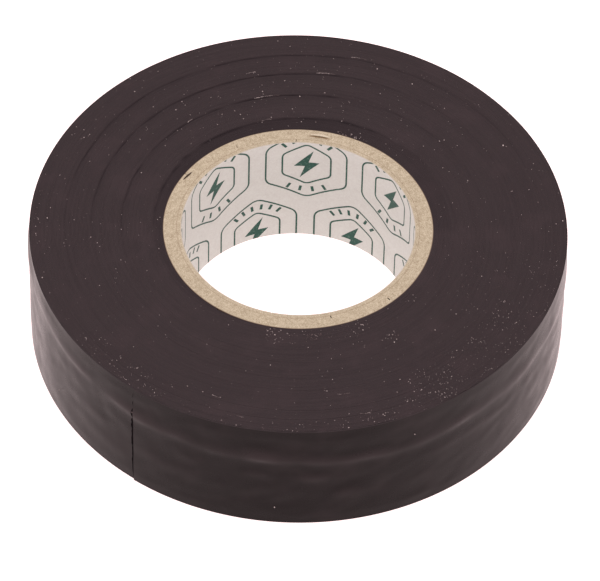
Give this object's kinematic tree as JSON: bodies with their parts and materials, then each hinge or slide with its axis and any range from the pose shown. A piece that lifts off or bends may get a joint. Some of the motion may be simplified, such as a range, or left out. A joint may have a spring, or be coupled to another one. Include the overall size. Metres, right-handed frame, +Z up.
{
  "type": "electrical tape roll",
  "caption": "Roll of black vinyl electrical tape wound on a printed paperboard core, with a tail end that peels up.",
  "frame": {"origin": "bottom centre of the core's bore, on the plane the roll lies on", "axes": "+Z up along the bore; -Y towards the side beside the tape's cut end; +X to its right"},
  "size_m": [0.0748, 0.0749, 0.019],
  "materials": {
    "printed_paper": null,
    "paperboard": "tan speckled paperboard, rough cut edge",
    "wound_vinyl": "slit edge of wound black vinyl tape, satin",
    "vinyl_film": "black calendered vinyl film, semi-gloss",
    "rubber_adhesive": "black pressure-sensitive rubber adhesive, tacky"
  },
  "bodies": {
    "roll": {"core_liner": "printed_paper", "core_ply_1": "paperboard", "core_ply_2": "paperboard", "core_ply_3": "paperboard", "core_ply_4": "paperboard", "core_ply_5": "paperboard", "wound_tape": "wound_vinyl", "outer_turn_film": "vinyl_film", "outer_turn_adhesive": "rubber_adhesive"},
    "tail_1": {"tail_film_1": "vinyl_film", "tail_adhesive_1": "rubber_adhesive"},
    "tail_2": {"tail_film_2": "vinyl_film", "tail_adhesive_2": "rubber_adhesive"},
    "tail_3": {"tail_film_3": "vinyl_film", "tail_adhesive_3": "rubber_adhesive"},
    "tail_4": {"tail_film_4": "vinyl_film", "tail_adhesive_4": "rubber_adhesive"},
    "tail_5": {"tail_film_5": "vinyl_film", "tail_adhesive_5": "rubber_adhesive"},
    "tail_6": {"tail_film_6": "vinyl_film", "tail_adhesive_6": "rubber_adhesive"}
  },
  "joints": [
    {"name": "tail_peel", "type": "hinge", "parent": "roll", "child": "tail_1", "pos_m": [0.00422, -0.03727, 0.0095], "axis": [0, 0, 1], "range_deg": [0, 75]},
    {"name": "tail_flex_2", "type": "hinge", "parent": "tail_1", "child": "tail_2", "pos_m": [-0.00035, -0.03751, 0.0095], "axis": [0, 0, 1], "range_deg": [0, 26.25]},
    {"name": "tail_flex_3", "type": "hinge", "parent": "tail_2", "child": "tail_3", "pos_m": [-0.00492, -0.03719, 0.0095], "axis": [0, 0, 1], "range_deg": [0, 18.75]},
    {"name": "tail_flex_4", "type": "hinge", "parent": "tail_3", "child": "tail_4", "pos_m": [-0.00941, -0.03632, 0.0095], "axis": [0, 0, 1], "range_deg": [0, 13.5]},
    {"name": "tail_flex_5", "type": "hinge", "parent": "tail_4", "child": "tail_5", "pos_m": [-0.01376, -0.0349, 0.0095], "axis": [0, 0, 1], "range_deg": [0, 9]},
    {"name": "tail_flex_6", "type": "hinge", "parent": "tail_5", "child": "tail_6", "pos_m": [-0.01791, -0.03297, 0.0095], "axis": [0, 0, 1], "range_deg": [0, 6]}
  ],
  "couplings": [
    {"joint": "tail_flex_2", "follows": "tail_peel", "ratio": 0.35},
    {"joint": "tail_flex_3", "follows": "tail_peel", "ratio": 0.25},
    {"joint": "tail_flex_4", "follows": "tail_peel", "ratio": 0.18},
    {"joint": "tail_flex_5", "follows": "tail_peel", "ratio": 0.12},
    {"joint": "tail_flex_6", "follows": "tail_peel", "ratio": 0.08}
  ]
}
